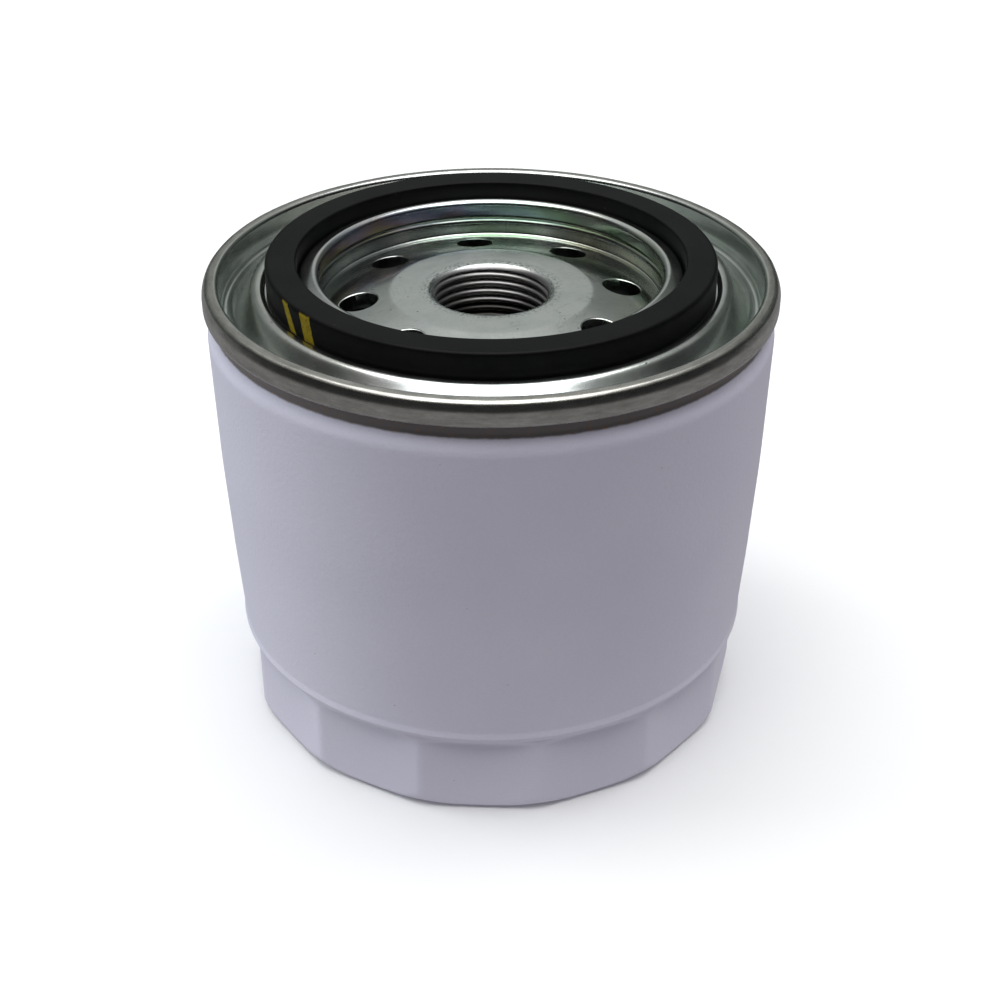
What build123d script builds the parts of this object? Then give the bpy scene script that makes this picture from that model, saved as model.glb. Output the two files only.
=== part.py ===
from build123d import *
import math
import os

# Spin-on engine oil filter, standing on its closed end with the threaded end up.
# Millimetres. The origin is at the centre of the bottom face and +Z runs up the axis.

os.makedirs("parts", exist_ok=True)

# ---------------------------------------------------------------- driving dimensions
gap = 0.02                    # play between sheets that are rolled or pressed together

# can: drawn, painted steel shell
can_t = 0.5                   # wall
neck_r = 45.16                # under the seam
body_r = 46.42                # largest, just below the shoulder
foot_r = 43.98                # corners between the wrench flats
flat_r = 42.90                # wrench flats, axis to face
flats = 14
flat_turn = -92.743           # direction of the middle of the first flat, from +X
flat_top = 15.4               # where the flats end

# lid: thin zinc-plated pressing, rolled over the can
lid_t = 0.54
seam_r = 46.80                # outside of the rolled seam
seam_top = 78.5
seam_bottom = 74.2
wall_r = 44.10                # upright wall inside the seam
channel_z = 73.35             # bottom of the channel inside that wall
ridge_z = 77.15               # ring between the channel and the gasket groove
groove_r = (31.2, 37.0)       # gasket groove
groove_z = 76.10
lip_r = 27.90                 # opening, edge of the hemmed lip
lip_z = 79.35                 # corner of the lip before rounding

# threaded plate: thick pressing under the lid
plate_t = 2.6
plate_r = 39.2
plate_z = 75.54               # top of its flange
dish_r = 28.25                # step wall of the dish
dish_z = 72.45                # foot of that wall
hub_r = 12.2                  # drawn-down hub
hub_z = 64.5
thread_minor_r = 9.19         # M20 x 1.5 nut thread, crest radius
inlet_r = 3.18                # oil inlet holes
inlet_pcr = 21.8
inlets = 8
inlet_turn = 97.6             # direction of the first one, from +X

# gasket
gasket_r = (31.5, 36.5)
gasket_z = (76.11, 81.10)

# filter element
element_z = (12.0, 64.6)      # outside faces of the end caps
cap_t = 0.4
cap_r = 38.5
tube_r = (15.5, 15.9)
pleats = 44
pleat_r = (16.75, 37.0)       # middle of the paper at its folds
paper_t = 0.6
potting_t = 1.95

# bypass valve, in the lower end cap
seat_r = 8.0
seat_lip_z = 14.0
poppet_r = 9.8
stem_r = 2.0
cage_r = 11.2
cage_z = 29.8

# springs
support_wire = 2.4
support_r = 19.4              # middle of the wire
support_z = 0.5               # inside of the can's floor
bypass_wire = 1.1
bypass_r = 5.4


def outline(points, radii):
    """Draw the closed outline through points with each corner rounded to its radius."""
    n = len(points)
    corners = []
    for i, (x, y) in enumerate(points):
        ax, ay = points[i - 1][0] - x, points[i - 1][1] - y
        bx, by = points[(i + 1) % n][0] - x, points[(i + 1) % n][1] - y
        a, b = math.hypot(ax, ay), math.hypot(bx, by)
        ax, ay, bx, by = ax / a, ay / a, bx / b, by / b
        half = math.acos(max(-1.0, min(1.0, ax * bx + ay * by))) / 2
        if radii[i] <= 1e-9 or half > math.pi / 2 - 1e-6:
            corners.append(((x, y), None, (x, y)))
            continue
        back = radii[i] / math.tan(half)
        mx, my = ax + bx, ay + by
        m = math.hypot(mx, my)
        deep = radii[i] / math.sin(half) - radii[i]
        corners.append(
            (
                (x + ax * back, y + ay * back),
                (x + mx / m * deep, y + my / m * deep),
                (x + bx * back, y + by * back),
            )
        )
    for i, (start, middle, end) in enumerate(corners):
        last = corners[i - 1][2]
        way = (points[i][0] - points[i - 1][0], points[i][1] - points[i - 1][1])
        run = (start[0] - last[0]) * way[0] + (start[1] - last[1]) * way[1]
        if run < -1e-9:
            raise ValueError("corner %d at %s is too round" % (i, points[i]))
        if math.dist(last, start) > 1e-6:
            Line(last, start)
        if middle is not None:
            ThreePointArc(start, middle, end)


def sheet(path, radii, t):
    """Closed outline of a sheet of thickness t that lies on the right of path, and
    the corner radii of that outline, so that both faces of a bend share a centre."""
    n = len(path)
    moved = []
    turns = []
    for i in range(n):
        ins = outs = None
        if i > 0:
            dx, dy = path[i][0] - path[i - 1][0], path[i][1] - path[i - 1][1]
            k = math.hypot(dx, dy)
            ins = (dx / k, dy / k)
        if i < n - 1:
            dx, dy = path[i + 1][0] - path[i][0], path[i + 1][1] - path[i][1]
            k = math.hypot(dx, dy)
            outs = (dx / k, dy / k)
        ins = ins or outs
        outs = outs or ins
        na, nb = (ins[1], -ins[0]), (outs[1], -outs[0])
        mx, my = na[0] + nb[0], na[1] + nb[1]
        k = 2 * t / (mx * mx + my * my)
        moved.append((path[i][0] + mx * k, path[i][1] + my * k))
        turns.append(ins[0] * outs[1] - ins[1] * outs[0])
    other = [0.0] * n
    for i in range(1, n - 1):
        other[i] = radii[i - 1] + (t if turns[i] > 0 else -t) if radii[i - 1] else 0.0
    both = list(path) + moved[::-1]
    return both, [0.0] + list(radii) + [0.0] + other[::-1]


def side_of(path, radii, t):
    """The right-hand face of that sheet alone, as an open path with its radii."""
    both, all_radii = sheet(path, radii, t)
    n = len(path)
    return both[n:][::-1], all_radii[n:][::-1][1:-1]


# ---------------------------------------------------------------- can
# Outer face of the shell, from the neck down to the middle of the bottom: neck,
# shoulder, long slightly drawn-in body, step above the flats, foot and centre boss.
can_face = [
    (neck_r, 73.0),
    (neck_r, 72.4),
    (body_r, 70.2),
    (46.08, 47.7),
    (45.30, 29.7),
    (44.62, 16.9),
    (foot_r, 15.9),
    (foot_r, 0.0),
    (17.5, 0.0),
    (15.5, 1.6),
    (0.0, 1.6),
]
can_radii = [1.6, 3.0, 200.0, 200.0, 1.3, 0.7, 3.3, 1.5, 1.0]
cavity_face, cavity_radii = side_of(can_face, can_radii, can_t)


def flat_cut(inset):
    """Section of what is taken off at each flat: upright face, slanting top."""
    r = flat_r - inset
    z = flat_top - 1.3 + inset * 0.3
    return [(r, -2), (r, z), (r + 1.5, z + 1.5), (r + 12, z + 1.5), (r + 12, -2)]


with BuildPart() as can_cavity:
    with BuildSketch(Plane.XZ):
        with BuildLine():
            outline(cavity_face + [(0.0, 73.0)], [0.0] + cavity_radii + [0.0, 0.0])
        make_face()
    revolve(axis=Axis.Z)
    for i in range(flats):
        side = Plane.XZ.rotated((0, 0, flat_turn + i * 360 / flats))
        with BuildSketch(side):
            with BuildLine():
                Polyline(*flat_cut(can_t), close=True)
            make_face()
        extrude(amount=14, both=True, mode=Mode.SUBTRACT)

with BuildPart() as can:
    with BuildSketch(Plane.XZ):
        with BuildLine():
            outline(can_face + [(0.0, 73.0)], [0.0] + can_radii + [0.0, 0.0])
        make_face()
    revolve(axis=Axis.Z)
    for i in range(flats):
        side = Plane.XZ.rotated((0, 0, flat_turn + i * 360 / flats))
        with BuildSketch(side):
            with BuildLine():
                Polyline(*flat_cut(0.0), close=True)
            make_face()
        extrude(amount=14, both=True, mode=Mode.SUBTRACT)
    add(can_cavity.part, mode=Mode.SUBTRACT)
    # body hook, turned outwards and down inside the rolled seam
    hook_r = neck_r + 2 * gap + lid_t
    with BuildSketch(Plane.XZ):
        with BuildLine():
            pts, radii = sheet(
                [(hook_r, 74.95), (hook_r, 76.0), (neck_r, 76.0), (neck_r, 73.0)],
                [0.28, 0.28],
                can_t,
            )
            outline(pts, radii)
        make_face()
    revolve(axis=Axis.Z)
can.part.label = "can"
export_step(can.part, "parts/can.step")

# ---------------------------------------------------------------- lid
lid_face = [
    (lip_r, 76.30),
    (lip_r, lip_z),
    (groove_r[0], lip_z - 1.20),
    (groove_r[0], groove_z),
    (groove_r[1], groove_z),
    (groove_r[1], ridge_z),
    (38.70, ridge_z),
    (42.30, channel_z),
    (wall_r, channel_z),
    (wall_r, seam_top),
    (45.75, seam_top),
    (seam_r, 76.4),
    (seam_r, seam_bottom),
    (neck_r + gap, seam_bottom),
    (neck_r + gap, 75.6),
]
lid_radii = [1.0, 0.8, 0.35, 0.30, 0.68, 1.6, 1.5, 1.1, 0.75, 1.0, 3.0, 0.95, 0.62]
with BuildPart() as seaming_lid:
    with BuildSketch(Plane.XZ):
        with BuildLine():
            pts, radii = sheet(lid_face, lid_radii, lid_t)
            outline(pts, radii)
        make_face()
    revolve(axis=Axis.Z)
seaming_lid.part.label = "seaming_lid"
export_step(seaming_lid.part, "parts/seaming_lid.step")

# sealing compound in the top of the seam, between the two hooks
with BuildPart() as seam_sealant:
    with BuildSketch(Plane.XZ):
        with BuildLine():
            Polyline((44.68, 76.52), (45.85, 76.52), (45.35, 77.70), (44.68, 77.70), close=True)
        make_face()
    revolve(axis=Axis.Z)
seam_sealant.part.label = "seam_sealant"
export_step(seam_sealant.part, "parts/seam_sealant.step")

# ---------------------------------------------------------------- threaded plate
dish_slope = 0.177            # the dish floor rises towards the hub
under = plate_t * math.hypot(1, dish_slope)
crown_r = 16.0
crown_z = dish_z + (dish_r - crown_r) * dish_slope
step_r = dish_r + plate_t
plate_outline = [
    (plate_r, plate_z),
    (dish_r, plate_z),
    (dish_r, dish_z),
    (crown_r, crown_z),
    (13.0, 75.05),
    (thread_minor_r, 74.70),
    (thread_minor_r, hub_z + 0.6),
    (thread_minor_r + 0.6, hub_z),
    (hub_r, hub_z),
    (hub_r, dish_z - under + (dish_r - hub_r) * dish_slope),
    (step_r, dish_z - under - plate_t * dish_slope),
    (step_r, plate_z - plate_t),
    (plate_r, plate_z - plate_t),
]
plate_radii = [0.4, 1.4, 1.0, 6.0, 2.5, 0.9, 0.0, 0.0, 0.5, 2.0, 2.0, 0.8, 0.4]
with BuildPart() as base_plate:
    with BuildSketch(Plane.XZ):
        with BuildLine():
            outline(plate_outline, plate_radii)
        make_face()
    revolve(axis=Axis.Z)
    with BuildSketch(Plane.XY.offset(68.0)):
        with PolarLocations(inlet_pcr, inlets, start_angle=inlet_turn):
            Circle(inlet_r)
    extrude(amount=9, mode=Mode.SUBTRACT)
base_plate.part.label = "base_plate"
export_step(base_plate.part, "parts/base_plate.step")

# ---------------------------------------------------------------- gasket
with BuildPart() as gasket:
    with BuildSketch(Plane.XZ):
        with BuildLine():
            outline(
                [
                    (gasket_r[0], gasket_z[0]),
                    (gasket_r[1], gasket_z[0]),
                    (gasket_r[1], gasket_z[1]),
                    (gasket_r[0], gasket_z[1]),
                ],
                [0.4, 0.4, 0.6, 0.4],
            )
        make_face()
    revolve(axis=Axis.Z)
gasket.part.label = "gasket"
export_step(gasket.part, "parts/gasket.step")

# ---------------------------------------------------------------- anti-drain-back valve
# One rubber moulding: collar round the hub, shoulder on the element, sprung lip
# that closes the inlet holes from inside.
with BuildPart() as anti_drain_valve:
    with BuildSketch(Plane.XZ):
        with BuildLine():
            outline(
                [
                    (hub_r + 0.05, 62.4),
                    (14.40, 62.4),
                    (14.40, element_z[1] + 0.01),
                    (18.0, element_z[1] + 0.01),
                    (18.0, 66.0),
                    (27.8, 68.6),
                    (28.6, 69.2),
                    (28.2, 69.78),
                    (26.4, 70.10),
                    (25.4, 69.3),
                    (15.8, 66.9),
                    (14.2, 67.8),
                    (14.2, 69.4),
                    (hub_r + 0.05, 69.4),
                ],
                [0.3, 0.3, 0.0, 0.3, 0.3, 1.0, 0.4, 0.1, 0.2, 0.8, 0.8, 0.5, 0.4, 0.4],
            )
        make_face()
    revolve(axis=Axis.Z)
anti_drain_valve.part.label = "anti_drain_valve"
export_step(anti_drain_valve.part, "parts/anti_drain_valve.step")

# ---------------------------------------------------------------- filter element
low, high = element_z
with BuildPart() as lower_end_cap:
    with BuildSketch(Plane.XZ):
        with BuildLine():
            pts, radii = sheet([(cap_r, low + 4.0), (cap_r, low), (11.0, low)], [0.7], cap_t)
            outline(pts, radii)
        make_face()
    revolve(axis=Axis.Z)
lower_end_cap.part.label = "lower_end_cap"
export_step(lower_end_cap.part, "parts/lower_end_cap.step")

with BuildPart() as upper_end_cap:
    with BuildSketch(Plane.XZ):
        with BuildLine():
            pts, radii = sheet(
                [(14.6, high - 3.6), (14.6, high), (cap_r, high), (cap_r, high - 4.0)],
                [0.6, 0.7],
                cap_t,
            )
            outline(pts, radii)
        make_face()
    revolve(axis=Axis.Z)
upper_end_cap.part.label = "upper_end_cap"
export_step(upper_end_cap.part, "parts/upper_end_cap.step")

# perforated centre tube, with the hole rows staggered round it
rows = 8
tube_low, tube_high = low + cap_t + gap, high - cap_t - gap
with BuildPart() as centre_tube:
    with BuildSketch(Plane.XY.offset(tube_low)):
        Circle(tube_r[1])
        Circle(tube_r[0], mode=Mode.SUBTRACT)
    extrude(amount=tube_high - tube_low)
    for row in range(rows):
        for k in range(4):
            turn = 45 * k + 22.5 * (row % 2)
            level = tube_low + 5.0 + row * 5.9
            across = Plane(origin=(0, 0, level), z_dir=(math.cos(math.radians(turn)), math.sin(math.radians(turn)), 0))
            with BuildSketch(across):
                Circle(2.1)
            extrude(amount=20, both=True, mode=Mode.SUBTRACT)
centre_tube.part.label = "centre_tube"
export_step(centre_tube.part, "parts/centre_tube.step")

# adhesive that sets the pleat ends and the tube into each cap
for name, foot, round_low, round_high in (
    ("lower_potting", low + cap_t + gap, 0.45, 0.0),
    ("upper_potting", high - cap_t - gap - potting_t, 0.0, 0.45),
):
    with BuildPart() as potting:
        with BuildSketch(Plane.XZ):
            with BuildLine():
                outline(
                    [
                        (tube_r[1] + 0.05, foot),
                        (cap_r - cap_t - 0.06, foot),
                        (cap_r - cap_t - 0.06, foot + potting_t),
                        (tube_r[1] + 0.05, foot + potting_t),
                    ],
                    [0.0, round_low, round_high, 0.0],
                )
            make_face()
        revolve(axis=Axis.Z)
    potting.part.label = name
    export_step(potting.part, "parts/" + name + ".step")

# pleated paper: one long strip folded into a ring
media_low = low + cap_t + 2 * gap + potting_t
media_high = high - cap_t - 2 * gap - potting_t
pitch = 2 * math.pi / pleats
outer_half = 0.90 / pleat_r[1]
inner_half = 0.45 / pleat_r[0]
fold_line = []
for i in range(pleats):
    a = i * pitch
    for r, b in (
        (pleat_r[1], a - outer_half),
        (pleat_r[1], a + outer_half),
        (pleat_r[0], a + pitch / 2 - inner_half),
        (pleat_r[0], a + pitch / 2 + inner_half),
    ):
        fold_line.append((r * math.cos(b), r * math.sin(b)))


def beside(loop, distance):
    """A closed anticlockwise loop moved outwards by distance, with mitred corners."""
    out = []
    for i, (x, y) in enumerate(loop):
        px, py = loop[i - 1]
        qx, qy = loop[(i + 1) % len(loop)]
        k = math.hypot(x - px, y - py)
        na = ((y - py) / k, -(x - px) / k)
        k = math.hypot(qx - x, qy - y)
        nb = ((qy - y) / k, -(qx - x) / k)
        mx, my = na[0] + nb[0], na[1] + nb[1]
        k = 2 * distance / (mx * mx + my * my)
        out.append((x + mx * k, y + my * k))
    return out


with BuildPart() as pleated_media:
    with BuildSketch(Plane.XY.offset(media_low)):
        with BuildLine():
            Polyline(*beside(fold_line, paper_t / 2), close=True)
        make_face()
        with BuildLine():
            Polyline(*beside(fold_line, -paper_t / 2), close=True)
        make_face(mode=Mode.SUBTRACT)
    extrude(amount=media_high - media_low)
pleated_media.part.label = "pleated_media"
export_step(pleated_media.part, "parts/pleated_media.step")

# folded metal strip that joins the two ends of the paper, over one outer fold
clip_r = pleat_r[1] + paper_t / 2 + 0.06
with BuildPart() as media_seam_clip:
    with BuildSketch(Plane.XY.offset(media_low + 0.5)):
        with BuildLine():
            pts, radii = sheet(
                [(32.2, 1.27), (clip_r, 1.27), (clip_r, -1.27), (32.2, -1.27)],
                [0.0, 0.0],
                -0.3,
            )
            Polyline(*pts, close=True)
        make_face()
    extrude(amount=media_high - media_low - 1.0)
media_seam_clip.part.label = "media_seam_clip"
export_step(media_seam_clip.part, "parts/media_seam_clip.step")

# ---------------------------------------------------------------- bypass valve
# seat ring crimped through the hole in the lower cap, with a raised seat lip
flange_z = low + cap_t + 0.05
with BuildPart() as bypass_seat:
    with BuildSketch(Plane.XZ):
        with BuildLine():
            outline(
                [
                    (seat_r, flange_z),
                    (10.30, flange_z),
                    (10.30, low - 0.60),
                    (12.20, low - 0.60),
                    (12.20, low - 0.05),
                    (10.90, low - 0.05),
                    (10.90, flange_z),
                    (13.80, flange_z),
                    (13.80, flange_z + 0.60),
                    (seat_r + 0.70, flange_z + 0.60),
                    (seat_r + 0.70, seat_lip_z),
                    (seat_r, seat_lip_z),
                ],
                [0.3, 0, 0.3, 0.2, 0.2, 0, 0, 0.1, 0.1, 0.3, 0.3, 0.3],
            )
        make_face()
    revolve(axis=Axis.Z)
bypass_seat.part.label = "bypass_seat"
export_step(bypass_seat.part, "parts/bypass_seat.step")

# spring cage: flanged cup with windows in its wall and a stem guide in its top
cage_low = flange_z + 0.60 + gap
with BuildPart() as bypass_cage:
    with BuildSketch(Plane.XZ):
        with BuildLine():
            pts, radii = sheet(
                [(stem_r + 0.25, cage_z), (cage_r, cage_z), (cage_r, cage_low + 0.7), (13.8, cage_low + 0.7)],
                [1.2, 0.5],
                0.7,
            )
            outline(pts, radii)
        make_face()
    revolve(axis=Axis.Z)
    for turn in (0, 90):
        across = Plane(origin=(0, 0, 21.5), z_dir=(math.cos(math.radians(turn)), math.sin(math.radians(turn)), 0))
        with BuildSketch(across):
            RectangleRounded(8.0, 9.0, 1.5)
        extrude(amount=16, both=True, mode=Mode.SUBTRACT)
bypass_cage.part.label = "bypass_cage"
export_step(bypass_cage.part, "parts/bypass_cage.step")

# rubber face of the valve, on the seat lip
with BuildPart() as bypass_seal:
    with BuildSketch(Plane.XY.offset(seat_lip_z + 0.01)):
        Circle(9.5)
        Circle(6.5, mode=Mode.SUBTRACT)
    extrude(amount=1.2)
bypass_seal.part.label = "bypass_seal"
export_step(bypass_seal.part, "parts/bypass_seal.step")

# valve disc with its guide stem above and the boss that holds the rubber below
disc_z = seat_lip_z + 0.01 + 1.2 + gap
with BuildPart() as bypass_poppet:
    with BuildSketch(Plane.XZ):
        with BuildLine():
            outline(
                [
                    (0.0, disc_z - 0.9),
                    (6.42, disc_z - 0.9),
                    (6.42, disc_z),
                    (poppet_r, disc_z),
                    (poppet_r, disc_z + 0.8),
                    (4.2, disc_z + 0.8),
                    (4.2, disc_z + 2.2),
                    (stem_r, disc_z + 2.2),
                    (stem_r, 33.4),
                    (0.0, 33.4),
                ],
                [0, 0.3, 0, 0.3, 0.3, 0, 0.4, 0.2, 0.6, 0],
            )
        make_face()
    revolve(axis=Axis.Z)
bypass_poppet.part.label = "bypass_poppet"
export_step(bypass_poppet.part, "parts/bypass_poppet.step")

# coil spring from the disc up to the top of the cage
coil_low = disc_z + 0.8 + bypass_wire / 2 + 0.03
coil_high = cage_z - 0.7 - bypass_wire / 2 - 0.03
with BuildPart() as bypass_spring:
    with BuildLine() as bypass_path:
        Helix(pitch=(coil_high - coil_low) / 5.0, height=coil_high - coil_low, radius=bypass_r, center=(0, 0, coil_low))
    with BuildSketch(Plane(origin=bypass_path.line @ 0, z_dir=bypass_path.line % 0)):
        Circle(bypass_wire / 2)
    sweep(path=bypass_path.line, is_frenet=True)
bypass_spring.part.label = "bypass_spring"
export_step(bypass_spring.part, "parts/bypass_spring.step")

# ---------------------------------------------------------------- support spring
# pressed ring under the lower cap, whose inner rim centres the spring
with BuildPart() as spring_seat:
    with BuildSketch(Plane.XZ):
        with BuildLine():
            rim = support_r - support_wire / 2 - 0.7 - 0.1
            pts, radii = sheet([(rim, 9.3), (rim, low - gap), (22.0, low - gap)], [0.9], 0.7)
            outline(pts, radii)
        make_face()
    revolve(axis=Axis.Z)
spring_seat.part.label = "spring_seat"
export_step(spring_seat.part, "parts/spring_seat.step")

# coil spring that holds the element up against the threaded end
spring_low = support_z + support_wire / 2 + 0.03
spring_high = low - gap - 0.7 - support_wire / 2 - 0.05
with BuildPart() as support_spring:
    with BuildLine() as support_path:
        Helix(
            pitch=(spring_high - spring_low) / 2.5,
            height=spring_high - spring_low,
            radius=support_r,
            center=(0, 0, spring_low),
        )
    with BuildSketch(Plane(origin=support_path.line @ 0, z_dir=support_path.line % 0)):
        Circle(support_wire / 2)
    sweep(path=support_path.line, is_frenet=True)
support_spring.part.label = "support_spring"
export_step(support_spring.part, "parts/support_spring.step")
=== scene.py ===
import math

import bpy
import numpy as np
from mathutils import Matrix, Vector

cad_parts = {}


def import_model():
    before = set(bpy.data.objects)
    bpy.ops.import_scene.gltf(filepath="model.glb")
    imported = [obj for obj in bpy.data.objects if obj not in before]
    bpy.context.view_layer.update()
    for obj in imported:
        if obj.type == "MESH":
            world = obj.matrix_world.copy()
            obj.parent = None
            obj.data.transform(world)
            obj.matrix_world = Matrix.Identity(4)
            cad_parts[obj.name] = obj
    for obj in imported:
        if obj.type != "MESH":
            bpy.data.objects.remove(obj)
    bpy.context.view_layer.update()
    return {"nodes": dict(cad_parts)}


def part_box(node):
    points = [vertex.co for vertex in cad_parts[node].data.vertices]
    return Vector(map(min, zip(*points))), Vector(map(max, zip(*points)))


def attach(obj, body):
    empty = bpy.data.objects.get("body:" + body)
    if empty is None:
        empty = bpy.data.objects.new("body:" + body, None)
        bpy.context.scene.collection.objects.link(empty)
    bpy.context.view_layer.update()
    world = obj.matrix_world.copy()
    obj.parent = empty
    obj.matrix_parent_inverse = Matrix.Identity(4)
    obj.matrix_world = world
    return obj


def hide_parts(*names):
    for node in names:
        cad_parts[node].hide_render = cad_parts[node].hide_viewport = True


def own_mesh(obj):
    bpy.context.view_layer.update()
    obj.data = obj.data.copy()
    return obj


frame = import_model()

MM = 0.001


# ------------------------------------------------------------------ camera
def make_camera():
    data = bpy.data.cameras.new("camera")
    data.sensor_fit = "HORIZONTAL"
    data.sensor_width = 36.0
    data.lens = 57.63
    data.clip_start = 0.01
    data.clip_end = 20.0
    cam = bpy.data.objects.new("camera", data)
    right = Vector((0.99998572, -0.00498631, 0.00192144))
    up = Vector((0.00099939, 0.52773693, 0.84940729))
    ahead = Vector((0.00524942, 0.84939324, -0.52773437))
    m = Matrix((
        (right.x, up.x, -ahead.x, 0.0),
        (right.y, up.y, -ahead.y, -0.24123),
        (right.z, up.z, -ahead.z, 0.183685),
        (0, 0, 0, 1),
    ))
    cam.matrix_world = m
    bpy.context.scene.collection.objects.link(cam)
    bpy.context.scene.camera = cam


make_camera()


# ------------------------------------------------------------------ outlines
def sheet(path, radii, t):
    """Closed outline of a sheet of thickness t on the right of path, with corner radii."""
    n = len(path)
    moved, turns = [], []
    for i in range(n):
        ins = outs = None
        if i > 0:
            dx, dy = path[i][0] - path[i - 1][0], path[i][1] - path[i - 1][1]
            k = math.hypot(dx, dy)
            ins = (dx / k, dy / k)
        if i < n - 1:
            dx, dy = path[i + 1][0] - path[i][0], path[i + 1][1] - path[i][1]
            k = math.hypot(dx, dy)
            outs = (dx / k, dy / k)
        ins = ins or outs
        outs = outs or ins
        na, nb = (ins[1], -ins[0]), (outs[1], -outs[0])
        mx, my = na[0] + nb[0], na[1] + nb[1]
        k = 2 * t / (mx * mx + my * my)
        moved.append((path[i][0] + mx * k, path[i][1] + my * k))
        turns.append(ins[0] * outs[1] - ins[1] * outs[0])
    other = [0.0] * n
    for i in range(1, n - 1):
        other[i] = radii[i - 1] + (t if turns[i] > 0 else -t) if radii[i - 1] else 0.0
    return list(path) + moved[::-1], [0.0] + list(radii) + [0.0] + other[::-1]


def rounded(points, radii, step=0.6, arc=7.0, closed=True):
    """Points along an outline whose corners are rounded, arcs in steps of arc degrees
    and straight runs in steps of at most step mm."""
    n = len(points)
    out = []

    def run(a, b):
        d = math.dist(a, b)
        k = max(1, int(math.ceil(d / step)))
        for j in range(1, k + 1):
            out.append((a[0] + (b[0] - a[0]) * j / k, a[1] + (b[1] - a[1]) * j / k))

    corners = []
    for i, (x, y) in enumerate(points):
        if not closed and i in (0, n - 1):
            corners.append([(x, y)])
            continue
        ax, ay = points[i - 1][0] - x, points[i - 1][1] - y
        bx, by = points[(i + 1) % n][0] - x, points[(i + 1) % n][1] - y
        a, b = math.hypot(ax, ay), math.hypot(bx, by)
        ax, ay, bx, by = ax / a, ay / a, bx / b, by / b
        half = math.acos(max(-1.0, min(1.0, ax * bx + ay * by))) / 2
        if radii[i] <= 1e-9 or half > math.pi / 2 - 1e-6:
            corners.append([(x, y)])
            continue
        back = radii[i] / math.tan(half)
        mx, my = ax + bx, ay + by
        m = math.hypot(mx, my)
        cx, cy = x + mx / m * radii[i] / math.sin(half), y + my / m * radii[i] / math.sin(half)
        s = (x + ax * back, y + ay * back)
        e = (x + bx * back, y + by * back)
        a0 = math.atan2(s[1] - cy, s[0] - cx)
        a1 = math.atan2(e[1] - cy, e[0] - cx)
        d = (a1 - a0 + math.pi) % (2 * math.pi) - math.pi
        k = max(2, int(math.ceil(abs(math.degrees(d)) / arc)))
        corners.append([(cx + radii[i] * math.cos(a0 + d * j / k), cy + radii[i] * math.sin(a0 + d * j / k)) for j in range(k + 1)])
    last = corners[-1][-1] if closed else None
    for c in corners:
        if last is None:
            out.append(c[0])
        elif math.dist(last, c[0]) > 1e-7:
            run(last, c[0])
        out.extend(c[1:])
        last = c[-1]
    return out


# ------------------------------------------------------------------ meshes
def link(name, verts, faces, sharp=38.0):
    mesh = bpy.data.meshes.new(name)
    mesh.from_pydata([tuple(v) for v in verts], [], faces)
    mesh.validate()
    mesh.update()
    obj = bpy.data.objects.new(name, mesh)
    bpy.context.scene.collection.objects.link(obj)
    finish_mesh(obj, sharp)
    return obj


def finish_mesh(obj, sharp=38.0):
    """Merges doubled points, faces all normals outwards and sets smooth shading with sharp edges."""
    import bmesh
    bm = bmesh.new()
    bm.from_mesh(obj.data)
    bmesh.ops.remove_doubles(bm, verts=bm.verts, dist=2e-7)
    bmesh.ops.recalc_face_normals(bm, faces=bm.faces)
    bm.to_mesh(obj.data)
    bm.free()
    obj.data.polygons.foreach_set("use_smooth", [True] * len(obj.data.polygons))
    obj.data.set_sharp_from_angle(angle=math.radians(sharp))
    obj.data.update()


def lathe(name, profile, segments, shape=None, sharp=38.0):
    """Turns a closed outline (r, z) in mm about the axis. shape(angle, r, z) may move each
    point; its arrays are (segments, 1) and (1, points)."""
    p = np.array(profile, float)
    r, z = p[None, :, 0].copy(), p[None, :, 1].copy()
    ang = (np.arange(segments) * 2 * math.pi / segments)[:, None]
    r = np.repeat(r, segments, 0)
    z = np.repeat(z, segments, 0)
    if shape is not None:
        r, z = shape(ang, r, z)
    r = np.maximum(r, 0.0)
    x, y = r * np.cos(ang), r * np.sin(ang)
    verts = np.stack([x, y, z], -1).reshape(-1, 3) * MM
    n = len(profile)
    i = np.arange(segments)[:, None]
    j = np.arange(n)[None, :]
    a = i * n + j
    b = ((i + 1) % segments) * n + j
    c = ((i + 1) % segments) * n + (j + 1) % n
    d = i * n + (j + 1) % n
    faces = np.stack([a, b, c, d], -1).reshape(-1, 4)
    # on the axis a quad closes to a triangle
    on_axis = np.array([abs(q[0]) < 1e-6 for q in profile])
    keep = ~(on_axis[j] & on_axis[(j + 1) % n])
    faces = faces[np.repeat(keep, segments, 0).reshape(-1)]
    return link(name, verts, faces.tolist(), sharp)


def cut(obj, cutter):
    mod = obj.modifiers.new("cut", "BOOLEAN")
    mod.operation = "DIFFERENCE"
    mod.solver = "EXACT"
    mod.object = cutter
    bpy.context.view_layer.update()
    deps = bpy.context.evaluated_depsgraph_get()
    new = bpy.data.meshes.new_from_object(obj.evaluated_get(deps))
    obj.modifiers.remove(mod)
    old = obj.data
    obj.data = new
    bpy.data.meshes.remove(old)
    bpy.data.objects.remove(cutter)


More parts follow.
